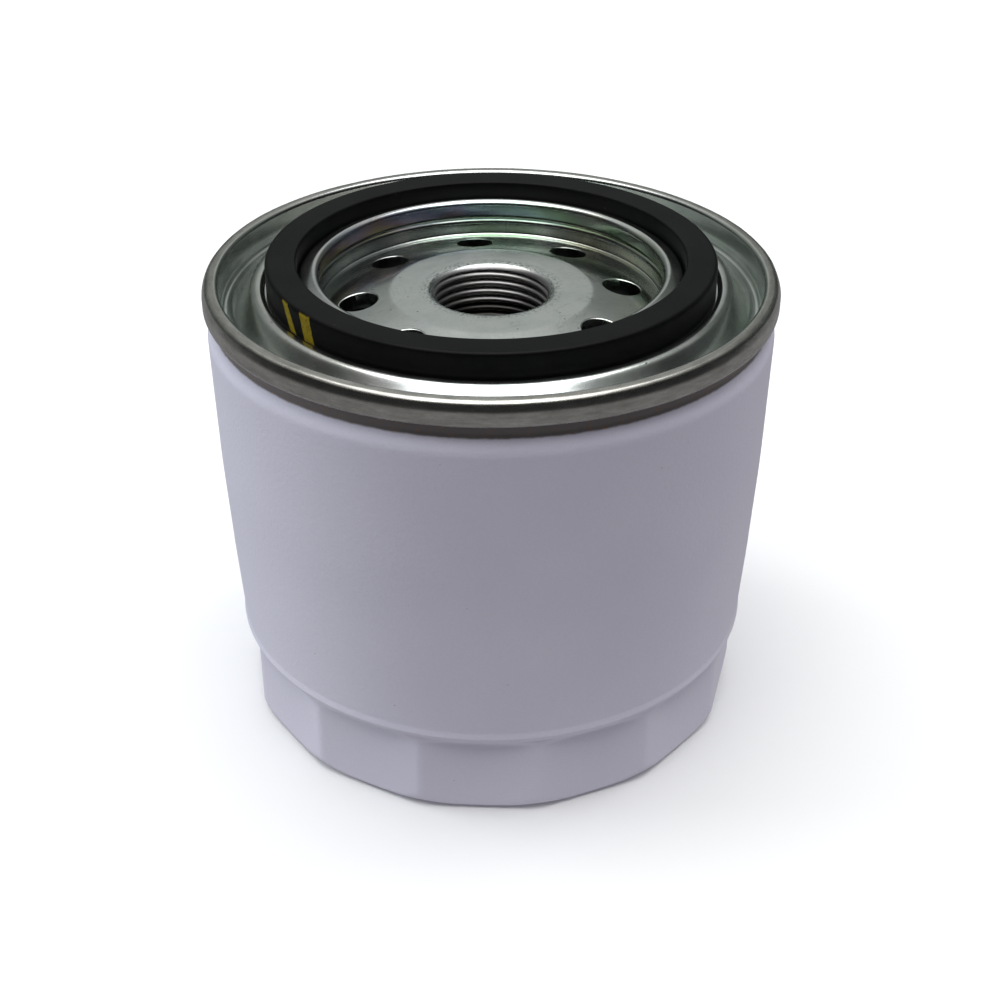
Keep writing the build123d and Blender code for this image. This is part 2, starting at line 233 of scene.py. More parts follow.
def coil(name, centre_line, wire, around=20, cap=True):
    """Round wire along points (mm), with closed rounded ends."""
    pts = np.array(centre_line, float)
    tang = np.gradient(pts, axis=0)
    tang /= np.linalg.norm(tang, axis=1)[:, None]
    radial = pts.copy()
    radial[:, 2] = 0
    radial /= np.linalg.norm(radial, axis=1)[:, None]
    side = radial - (radial * tang).sum(1)[:, None] * tang
    side /= np.linalg.norm(side, axis=1)[:, None]
    other = np.cross(tang, side)
    rings = []
    scale = [(0.0, wire * 0.28), (0.55, wire * 0.24), (0.85, wire * 0.14), (1.0, 0.0)]
    for s, back in scale[:-1]:
        rings.append((pts[0] - tang[0] * back * 0.5, s, 0))
    for k in range(len(pts)):
        rings.append((pts[k], 1.0, k))
    for s, back in scale[:-1][::-1]:
        rings.append((pts[-1] + tang[-1] * back * 0.5, s, len(pts) - 1))
    verts, faces = [], []
    for c, s, k in rings:
        for a in range(around):
            t = 2 * math.pi * a / around
            v = c + (side[k] * math.cos(t) + other[k] * math.sin(t)) * wire / 2 * max(s, 1e-6)
            verts.append(v * MM)
    for k in range(len(rings) - 1):
        for a in range(around):
            b = (a + 1) % around
            faces.append((k * around + a, k * around + b, (k + 1) * around + b, (k + 1) * around + a))
    return link(name, verts, faces, 60)


# ------------------------------------------------------------------ node helpers
class Nodes:
    def __init__(self, name):
        self.mat = bpy.data.materials.new(name)
        self.mat.use_nodes = True
        self.tree = self.mat.node_tree
        self.tree.nodes.clear()
        self.out = self.tree.nodes.new("ShaderNodeOutputMaterial")
        self.bsdf = self.tree.nodes.new("ShaderNodeBsdfPrincipled")
        self.tree.links.new(self.bsdf.outputs[0], self.out.inputs["Surface"])
        coord = self.tree.nodes.new("ShaderNodeTexCoord")
        scale = self.tree.nodes.new("ShaderNodeVectorMath")
        scale.operation = "SCALE"
        scale.inputs["Scale"].default_value = 1000.0
        self.tree.links.new(coord.outputs["Object"], scale.inputs[0])
        self.mm = scale.outputs[0]          # position in mm

    def link(self, a, b):
        if hasattr(a, "is_output") or isinstance(a, bpy.types.NodeSocket):
            self.tree.links.new(a, b)
        else:
            b.default_value = a

    def math(self, op, a, b=0.0, c=0.0, clamp=False):
        n = self.tree.nodes.new("ShaderNodeMath")
        n.operation = op
        n.use_clamp = clamp
        for i, v in enumerate((a, b, c)):
            if i < len(n.inputs):
                self.link(v, n.inputs[i])
        return n.outputs[0]

    def split(self, v):
        n = self.tree.nodes.new("ShaderNodeSeparateXYZ")
        self.link(v, n.inputs[0])
        return n.outputs

    def join(self, x, y, z):
        n = self.tree.nodes.new("ShaderNodeCombineXYZ")
        for i, v in enumerate((x, y, z)):
            self.link(v, n.inputs[i])
        return n.outputs[0]

    def polar(self):
        """(azimuth from the front, -pi..pi, radius mm, height mm)"""
        x, y, z = self.split(self.mm)
        az = self.math("ARCTAN2", x, self.math("MULTIPLY", y, -1.0))
        rad = self.math("SQRT", self.math("ADD", self.math("MULTIPLY", x, x), self.math("MULTIPLY", y, y)))
        return az, rad, z

    def noise(self, vec, scale, detail=4.0, rough=0.55, distort=0.0, kind="FBM"):
        n = self.tree.nodes.new("ShaderNodeTexNoise")
        n.noise_dimensions = "3D"
        self.link(vec, n.inputs["Vector"])
        n.inputs["Scale"].default_value = scale
        n.inputs["Detail"].default_value = detail
        n.inputs["Roughness"].default_value = rough
        n.inputs["Distortion"].default_value = distort
        return n.outputs["Fac"]

    def voronoi(self, vec, scale, feature="F1", random=1.0):
        n = self.tree.nodes.new("ShaderNodeTexVoronoi")
        n.feature = feature
        self.link(vec, n.inputs["Vector"])
        n.inputs["Scale"].default_value = scale
        n.inputs["Randomness"].default_value = random
        return n.outputs

    def ramp(self, fac, stops, mode="LINEAR"):
        n = self.tree.nodes.new("ShaderNodeValToRGB")
        n.color_ramp.interpolation = mode
        el = n.color_ramp.elements
        while len(el) < len(stops):
            el.new(0.5)
        for e, (pos, col) in zip(el, stops):
            e.position = pos
            e.color = tuple(col) + (1.0,) if len(col) == 3 else tuple(col)
        self.link(fac, n.inputs[0])
        return n.outputs[0]

    def grade(self, fac, lo, hi, a=0.0, b=1.0):
        """a at lo to b at hi, smoothly, clamped."""
        n = self.tree.nodes.new("ShaderNodeMapRange")
        n.interpolation_type = "SMOOTHSTEP"
        n.inputs["From Min"].default_value = lo
        n.inputs["From Max"].default_value = hi
        n.inputs["To Min"].default_value = a
        n.inputs["To Max"].default_value = b
        self.link(fac, n.inputs["Value"])
        return n.outputs[0]

    def mix(self, fac, a, b, mode="MIX"):
        n = self.tree.nodes.new("ShaderNodeMix")
        n.data_type = "RGBA"
        n.blend_type = mode
        n.clamp_factor = True
        self.link(fac, n.inputs["Factor"])
        for v, s in ((a, n.inputs["A"]), (b, n.inputs["B"])):
            pass
        self.link(a if not isinstance(a, tuple) else tuple(a) + (1.0,), n.inputs[6])
        self.link(b if not isinstance(b, tuple) else tuple(b) + (1.0,), n.inputs[7])
        return n.outputs[2]

    def bump(self, height, distance, strength=1.0, normal=None):
        n = self.tree.nodes.new("ShaderNodeBump")
        n.inputs["Strength"].default_value = strength
        n.inputs["Distance"].default_value = distance
        self.link(height, n.inputs["Height"])
        if normal is not None:
            self.link(normal, n.inputs["Normal"])
        return n.outputs[0]

    def set(self, **kw):
        for k, v in kw.items():
            self.link(v, self.bsdf.inputs[k.replace("_", " ")])
        return self.mat


def scratches(m, scale, stretch, seed, width=0.04):
    """Thin random scratches: stretched cells, edges only where they are narrow."""
    x, y, z = m.split(m.mm)
    a = math.radians(seed * 47.0)
    u = m.math("ADD", m.math("MULTIPLY", x, math.cos(a)), m.math("MULTIPLY", y, math.sin(a)))
    v = m.math("SUBTRACT", m.math("MULTIPLY", y, math.cos(a)), m.math("MULTIPLY", x, math.sin(a)))
    vec = m.join(m.math("MULTIPLY", u, 1.0 / stretch), v, m.math("ADD", z, seed * 13.7))
    warp = m.noise(vec, 0.35, 2.0)
    vec2 = m.join(m.math("MULTIPLY", u, 1.0 / stretch), m.math("ADD", v, m.math("MULTIPLY", warp, 1.5)), m.math("ADD", z, seed * 13.7))
    edge = m.voronoi(vec2, scale, "DISTANCE_TO_EDGE")["Distance"]
    line = m.grade(edge, 0.0, width, 1.0, 0.0)
    gate = m.grade(m.noise(m.join(u, v, seed * 3.1), 0.22, 3.0), 0.52, 0.66)
    return m.math("MULTIPLY", line, gate)


# ------------------------------------------------------------------ materials
def paint_white():
    m = Nodes("painted_white")
    az, rad, z = m.polar()
    peel = m.noise(m.mm, 1.25, 3.0, 0.5)
    fine = m.noise(m.mm, 3.4, 3.0, 0.6)
    slow = m.noise(m.mm, 0.045, 2.0, 0.5)
    speck = m.voronoi(m.mm, 0.42)
    dots = m.math("MULTIPLY", m.grade(speck["Distance"], 0.035, 0.05, 1.0, 0.0), m.grade(m.noise(m.mm, 0.21, 2.0), 0.60, 0.64))
    base = m.ramp(slow, [(0.30, (0.735, 0.715, 0.855)), (0.70, (0.770, 0.750, 0.880))])
    base = m.mix(m.grade(fine, 0.35, 0.70, 0.0, 0.30), base, (0.67, 0.655, 0.785))
    base = m.mix(m.math("MULTIPLY", dots, 0.65), base, (0.12, 0.12, 0.13))
    # painted shade under the seam's overhang, with rust-coloured flecks: the paint goes dark above z 72
    under = m.grade(m.math("ADD", z, m.math("MULTIPLY", m.noise(m.mm, 0.8, 3.0), 0.25)), 72.0, 72.35)
    rust = m.grade(m.noise(m.mm, 1.4, 3.0), 0.60, 0.68)
    seam_shade_and_rust = m.mix(rust, (0.185, 0.160, 0.155), (0.30, 0.16, 0.09))
    base = m.mix(m.math("MULTIPLY", under, 0.97), base, seam_shade_and_rust)
    height = m.math("ADD", m.math("MULTIPLY", peel, 0.72), m.math("MULTIPLY", fine, 0.28))
    rough = m.math("ADD", m.math("MULTIPLY", fine, 0.14), 0.36)
    return m.set(Base_Color=base, Roughness=rough, Normal=m.bump(height, 0.00016, 0.55),
                 Specular_IOR_Level=0.42, Coat_Weight=0.10, Coat_Roughness=0.25)


def zinc(name, plate=False):
    """Zinc plate over pressed steel: grey with a green cast, faint interference colours,
    wear, pits and tooling scratches. The lid's rolled seam is duller and more scuffed."""
    m = Nodes(name)
    az, rad, z = m.polar()
    cloud = m.noise(m.mm, 0.16, 4.0, 0.6)
    grain = m.noise(m.mm, 2.6, 4.0, 0.65)
    ring = m.join(m.math("MULTIPLY", az, 6.0), m.math("MULTIPLY", rad, 2.2), m.math("MULTIPLY", z, 2.2))
    lines = m.noise(ring, 1.6, 5.0, 0.7)
    base = m.ramp(cloud, [(0.30, (0.50, 0.535, 0.515)), (0.55, (0.58, 0.605, 0.585)), (0.75, (0.64, 0.645, 0.635))])
    base = m.mix(m.grade(grain, 0.35, 0.7, 0.0, 0.22), base, (0.42, 0.44, 0.43))
    # interference colours: bands that follow a slow field, strongest at the back right
    x, y, zz = m.split(m.mm)
    field = m.noise(m.mm, 0.085, 3.0, 0.5, 0.6)
    if plate:
        phase = m.math("ADD", m.math("MULTIPLY", field, 0.55), m.math("MULTIPLY", x, 0.007))
        phase = m.math("ADD", phase, 0.58)
    else:
        phase = m.math("ADD", m.math("MULTIPLY", field, 0.60), m.math("MULTIPLY", x, 0.0115))
        phase = m.math("ADD", phase, m.math("MULTIPLY", m.math("SUBTRACT", z, 78.0), 0.07))
        phase = m.math("ADD", phase, 0.36)
    phase = m.math("FRACT", phase)
    film = m.ramp(phase, [
        (0.00, (0.62, 0.66, 0.62)), (0.14, (0.66, 0.68, 0.38)), (0.26, (0.72, 0.58, 0.30)),
        (0.36, (0.62, 0.42, 0.50)), (0.50, (0.40, 0.44, 0.72)), (0.66, (0.50, 0.74, 0.76)),
        (0.82, (0.46, 0.72, 0.44)), (1.00, (0.62, 0.66, 0.62))])
    back = m.grade(m.math("ADD", m.math("MULTIPLY", y, 0.6), m.math("MULTIPLY", x, 0.8)), 1.0, 21.0)
    if plate:
        outer = m.grade(rad, 15.0, 21.0)
        amount = m.math("MULTIPLY", m.math("MULTIPLY", back, outer), 0.40)
        amount = m.math("ADD", amount, 0.03)
    else:
        lip = m.math("MULTIPLY", m.grade(rad, 28.6, 28.1), m.grade(z, 79.2, 78.0))
        amount = m.math("ADD", m.math("MULTIPLY", lip, 0.70), 0.07)
    base = m.mix(amount, base, film)
    rough = m.math("ADD", m.math("MULTIPLY", lines, 0.08), 0.12 if plate else 0.16)
    rough = m.math("ADD", rough, m.math("MULTIPLY", m.grade(cloud, 0.45, 0.8), 0.05))
    # scratches and pits
    s = m.math("MAXIMUM", scratches(m, 0.9, 7.0, 1), scratches(m, 1.1, 9.0, 2))
    s = m.math("MAXIMUM", s, scratches(m, 0.8, 6.0, 4))
    cell = m.voronoi(m.mm, 0.55)
    pits = m.math("MULTIPLY", m.grade(cell["Distance"], 0.060, 0.095, 1.0, 0.0), m.grade(m.noise(m.mm, 0.33, 3.0), 0.47, 0.56))
    base = m.mix(m.math("MULTIPLY", s, 0.30), base, (0.26, 0.27, 0.265))
    base = m.mix(m.math("MULTIPLY", pits, 0.92), base, (0.03, 0.03, 0.032))
    if plate:
        # tool marks round the mouth of the thread
        mouth = m.math("MULTIPLY", m.grade(rad, 9.4, 10.4), m.grade(rad, 12.2, 10.8))
        chew = m.noise(m.join(m.math("MULTIPLY", az, 22.0), m.math("MULTIPLY", rad, 3.0), 0.0), 0.8, 5.0, 0.75)
        chew = m.math("MULTIPLY", m.grade(chew, 0.515, 0.585), mouth)
        base = m.mix(m.math("MULTIPLY", chew, 0.75), base, (0.10, 0.105, 0.105))
        # cut thread is bare, darker steel, and deeper down the bore painted shade takes it to near black
        cutm = m.math("MULTIPLY", m.grade(rad, 10.25, 10.10), m.grade(z, 74.6, 74.2))
        base = m.mix(cutm, base, m.mix(m.grade(z, 69.4, 67.6), (0.34, 0.336, 0.333), (0.05, 0.048, 0.046)))
        rough = m.math("ADD", rough, m.math("MULTIPLY", cutm, 0.20))
    else:
        seam = m.grade(rad, 44.3, 45.0)
        side = m.math("MULTIPLY", m.grade(rad, 46.2, 46.7), m.grade(z, 78.2, 77.0))
        worn = m.noise(m.join(m.math("MULTIPLY", az, 14.0), m.math("MULTIPLY", rad, 1.2), m.math("MULTIPLY", z, 1.2)), 0.9, 5.0, 0.7)
        seam_col = m.ramp(worn, [(0.30, (0.30, 0.295, 0.275)), (0.52, (0.42, 0.415, 0.385)), (0.70, (0.52, 0.515, 0.485))])
        base = m.mix(seam, base, seam_col)
        # painted shade: the seam darkens to brown towards its lower edge, where it turns under over the neck
        low = m.math("MULTIPLY", m.grade(z, 74.9, 74.3), seam)
        base = m.mix(m.math("MULTIPLY", low, 0.8), base, (0.075, 0.06, 0.05))
        rough = m.math("ADD", rough, m.math("MULTIPLY", seam, 0.07))
    height = m.math("ADD", m.math("MULTIPLY", grain, 0.35), m.math("MULTIPLY", lines, 0.35))
    height = m.math("SUBTRACT", height, m.math("MULTIPLY", s, 0.35))
    height = m.math("SUBTRACT", height, m.math("MULTIPLY", pits, 1.2))
    return m.set(Base_Color=base, Metallic=1.0, Roughness=rough, Normal=m.bump(height, 0.00002, 0.07))


def rubber_gasket():
    m = Nodes("gasket_rubber")
    az, rad, z = m.polar()
    grain = m.noise(m.mm, 3.0, 4.0, 0.6)
    cloud = m.noise(m.mm, 0.12, 3.0, 0.6)
    base = m.ramp(cloud, [(0.3, (0.0022, 0.0023, 0.0025)), (0.7, (0.0042, 0.0043, 0.0046))])
    dust = m.voronoi(m.mm, 0.9)
    fleck = m.math("MULTIPLY", m.grade(dust["Distance"], 0.05, 0.09, 1.0, 0.0), m.grade(m.noise(m.mm, 0.4, 2.0), 0.60, 0.66))
    base = m.mix(m.math("MULTIPLY", fleck, 0.30), base, (0.20, 0.20, 0.21))
    # two slanting dabs of yellow marking paint on the outer side
    deg = m.math("MULTIPLY", az, 180 / math.pi)
    high = m.math("SUBTRACT", z, 78.9)
    wob = m.math("MULTIPLY", m.math("SUBTRACT", m.noise(m.mm, 0.9, 3.0), 0.5), 0.8)
    mark = None
    for centre, half, lean in ((-57.8, 1.55, 0.90), (-49.6, 2.05, 0.42)):
        slant = m.math("MULTIPLY", high, lean)
        off = m.math("ABSOLUTE", m.math("ADD", m.math("ADD", m.math("SUBTRACT", deg, centre), slant), wob))
        one = m.grade(off, half + 0.12, half - 0.12)
        mark = one if mark is None else m.math("MAXIMUM", mark, one)
    mark = m.math("MULTIPLY", mark, m.grade(rad, 36.15, 36.35))
    mark = m.math("MULTIPLY", mark, m.grade(m.math("ADD", z, m.math("MULTIPLY", wob, 0.3)), 80.95, 80.6))
    mark = m.math("MULTIPLY", mark, m.grade(z, 76.45, 76.7))
    thin = m.grade(m.noise(m.mm, 1.6, 4.0, 0.7), 0.30, 0.55)
    yellow = m.mix(thin, (0.14, 0.097, 0.008), (0.235, 0.175, 0.010))
    base = m.mix(m.math("MULTIPLY", mark, 0.96), base, yellow)
    rough = m.math("ADD", m.math("MULTIPLY", grain, 0.16), 0.36)
    return m.set(Base_Color=base, Roughness=rough, Normal=m.bump(grain, 0.00004, 0.35), Specular_IOR_Level=0.09)


def rubber_plain(name):
    m = Nodes(name)
    grain = m.noise(m.mm, 2.2, 4.0, 0.6)
    base = m.ramp(grain, [(0.3, (0.012, 0.012, 0.013)), (0.7, (0.024, 0.024, 0.026))])
    return m.set(Base_Color=base, Roughness=m.math("ADD", m.math("MULTIPLY", grain, 0.2), 0.4), Normal=m.bump(grain, 0.00005, 0.4))


def tinplate(name, tint=(0.56, 0.56, 0.555)):
    m = Nodes(name)
    az, rad, z = m.polar()
    cloud = m.noise(m.mm, 0.2, 3.0, 0.6)
    lines = m.noise(m.join(m.math("MULTIPLY", az, 9.0), m.math("MULTIPLY", rad, 2.0), m.math("MULTIPLY", z, 2.0)), 1.3, 5.0, 0.7)
    dark = tuple(c * 0.80 for c in tint)
    base = m.ramp(cloud, [(0.3, dark), (0.7, tint)])
    s = scratches(m, 0.9, 7.0, 3)
    base = m.mix(m.math("MULTIPLY", s, 0.3), base, (0.25, 0.25, 0.25))
    rough = m.math("ADD", m.math("MULTIPLY", lines, 0.2), 0.22)
    return m.set(Base_Color=base, Metallic=1.0, Roughness=rough, Normal=m.bump(lines, 0.00004, 0.5))


def wire(name):
    m = Nodes(name)
    grain = m.noise(m.mm, 1.8, 4.0, 0.6)
    base = m.ramp(grain, [(0.3, (0.22, 0.22, 0.23)), (0.7, (0.36, 0.355, 0.35))])
    return m.set(Base_Color=base, Metallic=1.0, Roughness=m.math("ADD", m.math("MULTIPLY", grain, 0.2), 0.25), Normal=m.bump(grain, 0.00005, 0.5))


def paper():
    m = Nodes("filter_paper")
    x, y, z = m.split(m.mm)
    fibre = m.noise(m.join(x, y, m.math("MULTIPLY", z, 0.35)), 2.4, 6.0, 0.7)
    rib = m.math("SINE", m.math("MULTIPLY", z, 4.2))
    base = m.ramp(fibre, [(0.28, (0.52, 0.36, 0.13)), (0.5, (0.66, 0.49, 0.21)), (0.72, (0.76, 0.60, 0.30))])
    height = m.math("ADD", m.math("MULTIPLY", rib, 0.3), fibre)
    return m.set(Base_Color=base, Roughness=m.math("ADD", m.math("MULTIPLY", fibre, 0.15), 0.78), Normal=m.bump(height, 0.00008, 0.7))


def glue():
    m = Nodes("set_adhesive")
    cloud = m.noise(m.mm, 0.5, 4.0, 0.6)
    base = m.ramp(cloud, [(0.3, (0.50, 0.44, 0.32)), (0.7, (0.62, 0.57, 0.44))])
    return m.set(Base_Color=base, Roughness=m.math("ADD", m.math("MULTIPLY", cloud, 0.2), 0.45), Normal=m.bump(cloud, 0.0001, 0.5))


def dress(obj, mat):
    obj.data.materials.clear()
    obj.data.materials.append(mat)


# ------------------------------------------------------------------ can
FLATS = 14
FLAT_TURN = math.radians(-92.743)
FOOT_R, FLAT_R = 43.98, 42.90
can_face = [
    (45.74, 74.95), (45.74, 76.0), (45.16, 76.0),
    (45.16, 72.4), (46.42, 70.2), (46.08, 47.7), (45.30, 29.7), (44.58, 17.6),
    (44.76, 16.50), (44.52, 15.80), (43.98, 15.35), (43.98, 0.0), (17.5, 0.0), (15.5, 1.6), (0.0, 1.6),
]
can_radii = [0.28, 0.28, 1.6, 3.0, 200.0, 200.0, 1.2, 0.34, 0.9, 0.5, 3.3, 1.5, 1.0]


def can_shape(ang, r, z):
    """Fourteen upright, slightly hollow faces pressed into the foot; the round lower
    corner stays round where the faces run out into it."""
    pitch = 2 * math.pi / FLATS
    phi = (ang - FLAT_TURN + pitch / 2) % pitch - pitch / 2          # from the middle of a flat
    u = np.abs(phi) / (pitch / 2)                                    # 0 middle, 1 corner
    hollow = 0.24
    corner = FLAT_R / math.cos(pitch / 2)
    face = FLAT_R / np.cos(phi) - hollow * (1 - u ** 2)
    w = 0.075                                                        # the ridge between two faces
    t = np.clip((1 - u) / w, 0, 1)
    at_w = FLAT_R / math.cos(pitch / 2 * (1 - w)) - hollow * (1 - (1 - w) ** 2)
    face = np.where(u > 1 - w, at_w + (corner - at_w) * 0.5 * (1 - t ** 2), face)
    rise = np.clip((z - 14.0) / 1.7, 0, 1)
    face = face + 2.6 * rise ** 2.0
    # soft minimum, only on the outer skin; the inner skin follows half a millimetre inside
    outer = np.clip((r - 30.0) / 12.0, 0, 1)
    skin = np.where(inner_skin, 0.5, 0.0)
    limit = face - skin
    k = 0.10
    d = r - limit
    cut_r = np.where(z < 20, limit + 0.5 * (d - np.sqrt(d * d + k * k)), r)
    low = np.minimum(cut_r, r)
    return np.where((outer > 0) & (z < 20), np.where(outer < 1, r + (low - r) * outer, low), r), z


pts, rad = sheet(can_face, can_radii, 0.5)
can_profile = rounded(pts, rad, step=0.55, arc=9)
# the outline runs down the outer face first and comes back up the inner one
middle = [i for i, q in enumerate(can_profile) if q[0] < 1e-6]
inner_skin = (np.arange(len(can_profile)) >= max(middle))[None, :]
can = lathe("canister", can_profile, FLATS * 32, can_shape, sharp=50)
dress(can, paint_white())
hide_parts("can")
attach(can, "housing")

# ------------------------------------------------------------------ lid
lid_face = [
    (27.90, 76.30), (27.90, 79.35), (31.2, 78.15), (31.2, 76.10), (37.0, 76.10), (37.0, 77.15),
    (38.70, 77.15), (42.30, 73.35), (44.10, 73.35), (44.10, 78.5), (46.20, 78.5), (46.80, 77.0),
    (46.80, 74.2), (45.18, 74.2), (45.18, 75.6),
]
lid_radii = [1.0, 0.8, 0.35, 0.30, 0.68, 1.6, 1.5, 1.1, 0.75, 0.95, 2.0, 0.95, 0.62]


def lid_shape(ang, r, z):
    """Rolling marks: the seam's rim is very slightly uneven, the lip a little less so."""
    rim = np.clip((r - 44.6) / 1.5, 0, 1)
    wave = 0.018 * np.sin(ang * 9 + 0.6) + 0.012 * np.sin(ang * 23 + 2.0) + 0.006 * np.sin(ang * 61 + 1.0)
    drop = rim * (0.020 * np.sin(ang * 5 + 1.1) + 0.010 * np.sin(ang * 17))
    return r - rim * (0.036 + wave), z - rim * 0.03 + np.where(z > 77.5, drop, drop * 0.5)


pts, rad = sheet(lid_face, lid_radii, 0.54)
lid = lathe("lid_pressing", rounded(pts, rad, step=0.5, arc=8), 320, lid_shape, sharp=60)
dress(lid, zinc("zinc_lid"))
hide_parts("seaming_lid")
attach(lid, "housing")

# ------------------------------------------------------------------ threaded plate
PITCH, MINOR, MAJOR = 1.5, 9.19, 10.0
slope = 0.177
dish_r, dish_z, plate_t, hub_r, hub_z = 28.25, 72.45, 2.6, 12.2, 64.5
under = plate_t * math.hypot(1, slope)
step_r = dish_r + plate_t
plate_outline = [
    (39.2, 75.54), (dish_r, 75.54), (dish_r, dish_z), (16.6, dish_z + (dish_r - 16.6) * slope + 0.10),
    (12.6, 74.70), (MINOR, 74.72), (MINOR, hub_z + 0.6), (MINOR + 0.6, hub_z), (hub_r, hub_z),
    (hub_r, dish_z - under + (dish_r - hub_r) * slope), (step_r, dish_z - under - plate_t * slope),
    (step_r, 75.54 - plate_t), (39.2, 75.54 - plate_t),
]
plate_radii = [0.4, 1.2, 0.5, 3.0, 4.0, 1.6, 0.0, 0.0, 0.5, 2.0, 2.0, 0.8, 0.4]


def thread_shape(ang, r, z):
    u = ((z - 64.9) / PITCH - ang / (2 * math.pi)) % 1.0
    v = np.abs(u - 0.5)                      # 0 at the root, 0.5 at the crest
    t = np.clip((0.465 - v) / 0.43, 0, 1)     # rolled crests: round on top, steep into the root
    groove = MINOR + (MAJOR - MINOR) * 0.90 * t ** 2.0
    inside = (r < MAJOR + 0.05) & (z > hub_z - 0.01) & (z < 75.2)
    return np.where(inside, np.maximum(r, groove), r), z


outline = rounded(plate_outline, plate_radii, step=0.6, arc=8)
fine = []
for a, b in zip(outline, outline[1:] + outline[:1]):
    fine.append(a)
    if max(a[0], b[0]) < MAJOR + 0.6 and min(a[1], b[1]) > hub_z - 0.01 and math.dist(a, b) > 0.06:
        k = int(math.ceil(math.dist(a, b) / 0.055))
        fine += [(a[0] + (b[0] - a[0]) * j / k, a[1] + (b[1] - a[1]) * j / k) for j in range(1, k)]
plate = lathe("threaded_plate", fine, 288, thread_shape, sharp=24)


def ring_of(profile, count, pcr, start, tilt=0.0, base_z=0.0, around=48):
    """The same turned cutter standing at each inlet hole, tilted outwards by tilt."""
    verts, faces = [], []
    n = len(profile)
    for k in range(count):
        a = math.radians(start + 360.0 / count * k)
        place = Matrix.Translation((pcr * math.cos(a), pcr * math.sin(a), base_z)) @ Matrix.Rotation(a, 4, "Z") @ Matrix.Rotation(tilt, 4, "Y")
        off = len(verts)
        for s in range(around):
            t = 2 * math.pi * s / around
            for r, h in profile:
                verts.append((place @ Vector((r * math.cos(t), r * math.sin(t), h))) * MM)
        for s in range(around):
            q = (s + 1) % around
            for j in range(n - 1):
                faces.append((off + s * n + j, off + q * n + j, off + q * n + j + 1, off + s * n + j + 1))
    return link("cutter", verts, faces)


HOLE_R, PCR, START = 3.18, 21.8, 97.6
top_z = dish_z + (dish_r - PCR) * slope
cut(plate, ring_of([(0, -6), (HOLE_R, -6), (HOLE_R, 3), (0, 3)], 8, PCR, START, 0.0, top_z))
flare = [(0, -0.5), (HOLE_R - 0.03, -0.5)]
flare += [(HOLE_R - 0.03 + 0.24 * (1 - math.cos(t)), -0.24 + 0.24 * math.sin(t)) for t in [math.radians(15 * j) for j in range(0, 7)]]
flare += [(HOLE_R + 0.32, 0.8), (0, 0.8)]
cut(plate, ring_of(flare, 8, PCR, START, math.atan(slope), top_z))
finish_mesh(plate, 24)
dress(plate, zinc("zinc_plate", plate=True))
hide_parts("base_plate")
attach(plate, "housing")

# ------------------------------------------------------------------ gasket
gasket_outline = [(31.5, 76.11), (36.5, 76.11), (36.5, 81.10), (31.5, 81.10)]
gasket = lathe("sealing_gasket", rounded(gasket_outline, [0.4, 0.4, 0.6, 0.4], step=0.5, arc=10), 288,
               lambda ang, r, z: (r, z - np.where(z > 80, 0.02 + 0.02 * np.sin(ang * 3 + 0.5), 0.0)), sharp=60)
dress(gasket, rubber_gasket())
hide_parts("gasket")
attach(gasket, "gasket")

# ------------------------------------------------------------------ springs
def helix(radius, low, high, turns, flat=0.75, n=64):
    """Centre line of a compression spring whose end turns lie closer."""
    total = int(turns * n)
    line = []
    for i in range(total + 1):
        t = i / total
        s = 0.5 - 0.5 * math.cos(math.pi * t)
        k = flat * s + (1 - flat) * t
        a = 2 * math.pi * turns * t
        line.append((radius * math.cos(a), radius * math.sin(a), low + (high - low) * k))
    return line


lo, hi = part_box("support_spring")
sup = coil("support_coil", helix(19.4, lo.z / MM + 1.2, hi.z / MM - 1.2, 2.9), 2.36)
dress(sup, wire("spring_wire"))
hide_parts("support_spring")
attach(sup, "housing")
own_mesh(sup)

lo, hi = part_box("bypass_spring")
byp = coil("bypass_coil", helix(5.4, lo.z / MM + 0.55, hi.z / MM - 0.55, 5.6), 1.08)
dress(byp, wire("bypass_wire"))
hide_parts("bypass_spring")
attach(byp, "element")
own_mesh(byp)

# ------------------------------------------------------------------ carried-over parts
tin = tinplate("tinplate")
zn = tinplate("zinc_inner", (0.60, 0.61, 0.60))
skins = {
    "lower_end_cap": tin, "upper_end_cap": tin, "media_seam_clip": tin,
    "centre_tube": zn, "bypass_seat": zn, "bypass_cage": zn, "bypass_poppet": zn, "spring_seat": zn,
    "lower_potting": glue(), "pleated_media": paper(),
    "seam_sealant": rubber_plain("seam_compound"), "anti_drain_valve": rubber_plain("valve_rubber"),
}
skins["upper_potting"] = skins["lower_potting"]
skins["bypass_seal"] = skins["anti_drain_valve"]
for node, mat in skins.items():
    dress(frame["nodes"][node], mat)

# ------------------------------------------------------------------ stage
def floor():
    """One pale sweep: a floor that curves up all round, far from the object."""
    run = [(0.0, 0.0), (0.3, 0.0), (1.0, 0.0), (2.2, 0.0)]
    run += [(2.2 + 0.9 * math.sin(t), 0.9 - 0.9 * math.cos(t)) for t in [math.radians(9 * j) for j in range(1, 11)]]
    run += [(3.1, 1.8), (3.1, 2.8)]
    n, seg = len(run), 96
    verts = [(r * math.cos(2 * math.pi * k / seg), r * math.sin(2 * math.pi * k / seg), z) for k in range(seg) for r, z in run]
    faces = [(k * n + j, ((k + 1) % seg) * n + j, ((k + 1) % seg) * n + j + 1, k * n + j + 1) for k in range(seg) for j in range(n - 1)]
    obj = link("floor", verts, faces, 180)
    m = Nodes("pale_floor")
    soft = m.noise(m.mm, 0.004, 2.0)
    m.set(Base_Color=m.ramp(soft, [(0.3, (0.84, 0.845, 0.85)), (0.7, (0.86, 0.865, 0.87))]), Roughness=0.95, Specular_IOR_Level=0.1)
    dress(obj, m.mat)
    # the studio's own dim surroundings light the object's underside, not this bright sweep
    obj.visible_diffuse = False
    obj.visible_glossy = False
    obj.visible_transmission = False
    obj.visible_shadow = False


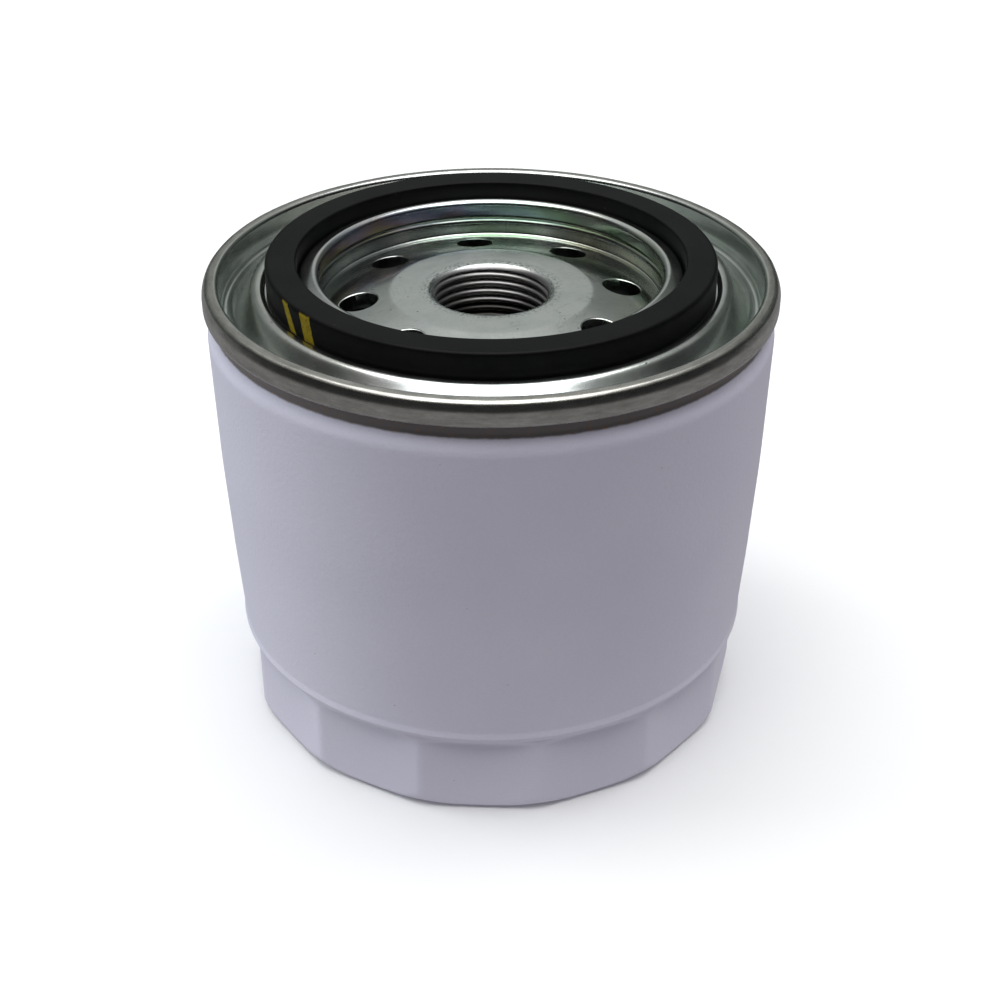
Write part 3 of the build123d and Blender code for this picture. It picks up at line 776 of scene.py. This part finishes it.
def area(name, place, aim, size, radiance, colour=(1, 1, 1), size_y=None):
    data = bpy.data.lights.new(name, "AREA")
    data.shape = "RECTANGLE"
    data.size = size
    data.size_y = size_y or size
    data.energy = radiance * math.pi * size * (size_y or size)
    data.color = colour
    obj = bpy.data.objects.new(name, data)
    obj.location = place
    obj.rotation_euler = (Vector(aim) - Vector(place)).to_track_quat("-Z", "Y").to_euler()
    bpy.context.scene.collection.objects.link(obj)
    return obj


def world():
    w = bpy.data.worlds.new("studio")
    bpy.context.scene.world = w
    w.use_nodes = True
    t = w.node_tree
    t.nodes.clear()
    out = t.nodes.new("ShaderNodeOutputWorld")
    bg = t.nodes.new("ShaderNodeBackground")
    geo = t.nodes.new("ShaderNodeTexCoord")
    sep = t.nodes.new("ShaderNodeSeparateXYZ")
    t.links.new(geo.outputs["Generated"], sep.inputs[0])
    high = t.nodes.new("ShaderNodeMapRange")
    high.inputs["From Min"].default_value = -1.0
    t.links.new(sep.outputs["Z"], high.inputs["Value"])

    def ramp(stops):
        n = t.nodes.new("ShaderNodeValToRGB")
        el = n.color_ramp.elements
        while len(el) < len(stops):
            el.new(0.5)
        for e, (p, c) in zip(el, stops):
            e.position, e.color = (p + 1) / 2, tuple(c) + (1,)
        t.links.new(high.outputs[0], n.inputs[0])
        return n.outputs[0]

    def blend(axis, lo, hi, a, b):
        mix = t.nodes.new("ShaderNodeMix")
        mix.data_type = "RGBA"
        rng = t.nodes.new("ShaderNodeMapRange")
        rng.interpolation_type = "SMOOTHSTEP"
        rng.inputs["From Min"].default_value = lo
        rng.inputs["From Max"].default_value = hi
        t.links.new(sep.outputs[axis], rng.inputs["Value"])
        t.links.new(rng.outputs[0], mix.inputs["Factor"])
        t.links.new(a, mix.inputs[6])
        t.links.new(b, mix.inputs[7])
        return mix.outputs[2]

    rear = ramp([(-1.0, (0.34, 0.335, 0.35)), (-0.10, (0.30, 0.30, 0.305)), (0.03, (0.060, 0.080, 0.072)), (0.17, (0.065, 0.085, 0.075)), (0.38, (0.50, 0.52, 0.51)), (0.75, (0.70, 0.71, 0.71)), (1.0, (0.9, 0.9, 0.9))])
    front = ramp([(-1.0, (0.34, 0.335, 0.35)), (-0.30, (0.30, 0.295, 0.30)), (-0.02, (0.030, 0.030, 0.033)), (0.50, (0.012, 0.012, 0.013)), (0.64, (0.05, 0.05, 0.05)), (0.80, (0.35, 0.35, 0.35)), (1.0, (0.9, 0.9, 0.9))])
    right = ramp([(-1.0, (0.34, 0.335, 0.35)), (-0.10, (0.30, 0.30, 0.305)), (0.03, (0.045, 0.055, 0.050)), (0.50, (0.10, 0.11, 0.105)), (0.70, (0.45, 0.45, 0.45)), (1.0, (0.9, 0.9, 0.9))])
    left = ramp([(-1.0, (0.34, 0.335, 0.35)), (-0.10, (0.30, 0.30, 0.305)), (0.03, (0.065, 0.085, 0.075)), (0.25, (0.13, 0.15, 0.14)), (0.50, (0.28, 0.29, 0.285)), (0.75, (0.70, 0.70, 0.70)), (1.0, (0.9, 0.9, 0.9))])
    rear = blend("X", 0.06, 0.32, rear, right)
    rear = blend("X", -0.32, -0.06, left, rear)
    both = blend("Y", 0.0, 0.65, front, rear)
    bg.inputs["Strength"].default_value = 1.0
    t.links.new(both, bg.inputs["Color"])
    t.links.new(bg.outputs[0], out.inputs["Surface"])


floor()
world()
area("overhead", (-0.05, -0.22, 1.95), (-0.05, -0.22, 0), 2.1, 3.0, (1.0, 1.0, 1.0), 2.1)
left = area("left_soft", (-2.0, 0.45, 0.75), (0, 0, 0.04), 1.3, 4.5, (0.92, 1.0, 1.02), 1.3)
right = area("right_soft", (1.75, 0.95, 0.70), (0, 0, 0.04), 1.0, 2.6, (0.97, 1.0, 1.0), 1.1)
near = area("floor_bounce", (0, 0, 0.0006), (0, 0, 1.0), 0.24, 0.30, (1.0, 1.0, 1.02))
near.visible_camera = False
for soft in (left, right, near):
    soft.visible_glossy = False

scene = bpy.context.scene
scene.view_settings.view_transform = "Standard"
scene.view_settings.look = "None"

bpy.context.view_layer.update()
